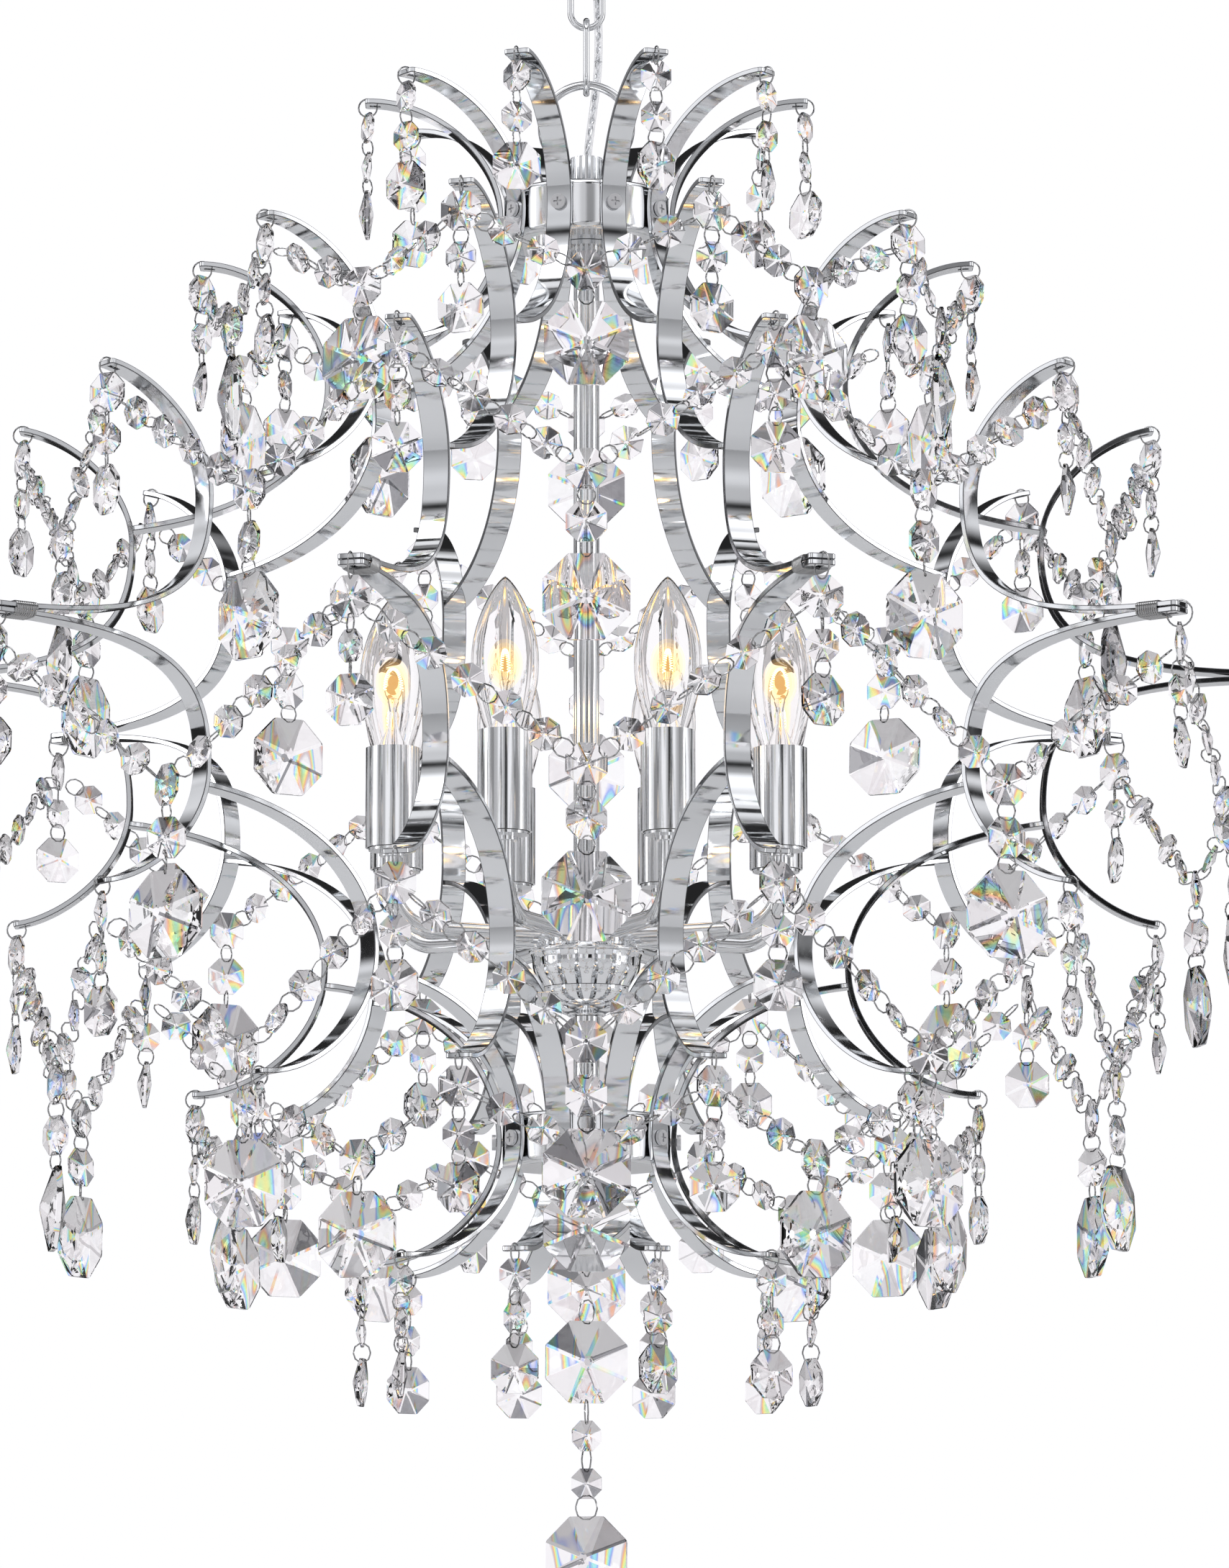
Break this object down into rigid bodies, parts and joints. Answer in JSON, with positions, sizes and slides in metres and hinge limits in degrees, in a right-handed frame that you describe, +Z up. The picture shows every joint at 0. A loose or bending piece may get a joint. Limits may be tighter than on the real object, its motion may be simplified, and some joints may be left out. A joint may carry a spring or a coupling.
{
  "type": "multi arm chandelier",
  "caption": "Cage chandelier of scrolled flat chrome ribs round a column, with upright candle lamps, octagon crystal garlands and drops, hung by a short chain.",
  "frame": {"origin": "middle of the crossbar's upper face, in the ceiling plane", "axes": "+Z up to the ceiling; -Y towards the viewer, with two ribs 18 degrees to each side of it; +X to the viewer's right"},
  "size_m": [0.6604, 0.6282, 0.8247],
  "materials": {
    "chrome": "polished chrome plate on steel",
    "zinc_steel": "bright zinc plated steel",
    "screw_steel": "polished pan head steel",
    "clear_cord": "clear flexible sheath over tinned strands",
    "wire_insulation": "smooth insulation",
    "socket_plastic": "moulded lamp holder",
    "bulb_glass": "clear blown glass with a lit filament",
    "crystal": "clear cut lead crystal"
  },
  "bodies": {
    "canopy": {"ceiling_canopy": "chrome", "canopy_crossbar": "zinc_steel", "canopy_screws": "zinc_steel", "canopy_loop": "chrome"},
    "chain_upper": {"chain_link_upper": "chrome"},
    "chain_lower": {"chain_link_lower": "chrome", "power_cord": "clear_cord"},
    "cage": {"hanging_ring": "chrome", "ring_cap": "chrome", "top_hub": "chrome", "hub_screws": "screw_steel", "column_collar": "chrome", "column_tube": "chrome", "threaded_rod": "zinc_steel", "arm_bowl": "chrome", "bowl_dome": "chrome", "light_arms": "chrome", "candle_cups": "chrome", "lamp_sockets": "socket_plastic", "lamp_wires": "wire_insulation", "candle_sleeves": "chrome", "bottom_hub": "chrome", "bottom_finial": "chrome", "rib_01": "chrome", "rib_02": "chrome", "rib_03": "chrome", "rib_04": "chrome", "rib_05": "chrome", "rib_06": "chrome", "rib_07": "chrome", "rib_08": "chrome", "rib_09": "chrome", "rib_10": "chrome", "wire_wraps": "chrome", "garland_crown": "crystal", "garland_shoulder": "crystal", "garland_waist": "crystal", "garland_hip": "crystal", "garland_foot": "crystal", "tip_pendants": "crystal", "foot_pendants": "crystal"},
    "bulb_1": {"bulb_1": "bulb_glass"},
    "bulb_2": {"bulb_2": "bulb_glass"},
    "bulb_3": {"bulb_3": "bulb_glass"},
    "bulb_4": {"bulb_4": "bulb_glass"},
    "bulb_5": {"bulb_5": "bulb_glass"},
    "bulb_6": {"bulb_6": "bulb_glass"},
    "bulb_7": {"bulb_7": "bulb_glass"},
    "bulb_8": {"bulb_8": "bulb_glass"},
    "crown_pendant_01": {"crown_pendant_01": "crystal"},
    "crown_pendant_02": {"crown_pendant_02": "crystal"},
    "crown_pendant_03": {"crown_pendant_03": "crystal"},
    "crown_pendant_04": {"crown_pendant_04": "crystal"},
    "crown_pendant_05": {"crown_pendant_05": "crystal"},
    "crown_pendant_06": {"crown_pendant_06": "crystal"},
    "crown_pendant_07": {"crown_pendant_07": "crystal"},
    "crown_pendant_08": {"crown_pendant_08": "crystal"},
    "crown_pendant_09": {"crown_pendant_09": "crystal"},
    "crown_pendant_10": {"crown_pendant_10": "crystal"},
    "centre_drop": {"centre_drop": "crystal"}
  },
  "joints": [
    {"name": "chain_upper_swing", "type": "hinge", "parent": "canopy", "child": "chain_upper", "pos_m": [0, 0, -0.0509], "axis": [0, 1, 0], "range_deg": [-12, 12]},
    {"name": "chain_lower_swing", "type": "hinge", "parent": "chain_upper", "child": "chain_lower", "pos_m": [0, 0, -0.0821], "axis": [1, 0, 0], "range_deg": [-12, 12], "deforming": ["power_cord"]},
    {"name": "cage_swing", "type": "hinge", "parent": "chain_lower", "child": "cage", "pos_m": [0, 0, -0.1138], "axis": [0, 1, 0], "range_deg": [-12, 12]},
    {"name": "bulb_1_unscrew", "type": "hinge", "parent": "cage", "child": "bulb_1", "pos_m": [0.03712, -0.08962, -0.415], "axis": [0, 0, 1], "range_deg": [0, 1080]},
    {"name": "bulb_2_unscrew", "type": "hinge", "parent": "cage", "child": "bulb_2", "pos_m": [0.08962, -0.03712, -0.415], "axis": [0, 0, 1], "range_deg": [0, 1080]},
    {"name": "bulb_3_unscrew", "type": "hinge", "parent": "cage", "child": "bulb_3", "pos_m": [0.08962, 0.03712, -0.415], "axis": [0, 0, 1], "range_deg": [0, 1080]},
    {"name": "bulb_4_unscrew", "type": "hinge", "parent": "cage", "child": "bulb_4", "pos_m": [0.03712, 0.08962, -0.415], "axis": [0, 0, 1], "range_deg": [0, 1080]},
    {"name": "bulb_5_unscrew", "type": "hinge", "parent": "cage", "child": "bulb_5", "pos_m": [-0.03712, 0.08962, -0.415], "axis": [0, 0, 1], "range_deg": [0, 1080]},
    {"name": "bulb_6_unscrew", "type": "hinge", "parent": "cage", "child": "bulb_6", "pos_m": [-0.08962, 0.03712, -0.415], "axis": [0, 0, 1], "range_deg": [0, 1080]},
    {"name": "bulb_7_unscrew", "type": "hinge", "parent": "cage", "child": "bulb_7", "pos_m": [-0.08962, -0.03712, -0.415], "axis": [0, 0, 1], "range_deg": [0, 1080]},
    {"name": "bulb_8_unscrew", "type": "hinge", "parent": "cage", "child": "bulb_8", "pos_m": [-0.03712, -0.08962, -0.415], "axis": [0, 0, 1], "range_deg": [0, 1080]},
    {"name": "crown_pendant_01_swing", "type": "hinge", "parent": "cage", "child": "crown_pendant_01", "pos_m": [0.03208, -0.09872, -0.119], "axis": [0.9511, 0.309, 0], "range_deg": [-25, 25]},
    {"name": "crown_pendant_02_swing", "type": "hinge", "parent": "cage", "child": "crown_pendant_02", "pos_m": [0.08398, -0.06101, -0.119], "axis": [0.5878, 0.809, 0], "range_deg": [-25, 25]},
    {"name": "crown_pendant_03_swing", "type": "hinge", "parent": "cage", "child": "crown_pendant_03", "pos_m": [0.1038, 0, -0.119], "axis": [0, 1, 0], "range_deg": [-25, 25]},
    {"name": "crown_pendant_04_swing", "type": "hinge", "parent": "cage", "child": "crown_pendant_04", "pos_m": [0.08398, 0.06101, -0.119], "axis": [-0.5878, 0.809, 0], "range_deg": [-25, 25]},
    {"name": "crown_pendant_05_swing", "type": "hinge", "parent": "cage", "child": "crown_pendant_05", "pos_m": [0.03208, 0.09872, -0.119], "axis": [-0.9511, 0.309, 0], "range_deg": [-25, 25]},
    {"name": "crown_pendant_06_swing", "type": "hinge", "parent": "cage", "child": "crown_pendant_06", "pos_m": [-0.03208, 0.09872, -0.119], "axis": [-0.9511, -0.309, 0], "range_deg": [-25, 25]},
    {"name": "crown_pendant_07_swing", "type": "hinge", "parent": "cage", "child": "crown_pendant_07", "pos_m": [-0.08398, 0.06101, -0.119], "axis": [-0.5878, -0.809, 0], "range_deg": [-25, 25]},
    {"name": "crown_pendant_08_swing", "type": "hinge", "parent": "cage", "child": "crown_pendant_08", "pos_m": [-0.1038, 0, -0.119], "axis": [0, -1, 0], "range_deg": [-25, 25]},
    {"name": "crown_pendant_09_swing", "type": "hinge", "parent": "cage", "child": "crown_pendant_09", "pos_m": [-0.08398, -0.06101, -0.119], "axis": [0.5878, -0.809, 0], "range_deg": [-25, 25]},
    {"name": "crown_pendant_10_swing", "type": "hinge", "parent": "cage", "child": "crown_pendant_10", "pos_m": [-0.03208, -0.09872, -0.119], "axis": [0.9511, -0.309, 0], "range_deg": [-25, 25]},
    {"name": "centre_drop_swing", "type": "hinge", "parent": "cage", "child": "centre_drop", "pos_m": [0, 0, -0.6478], "axis": [1, 0, 0], "range_deg": [-15, 15]}
  ]
}
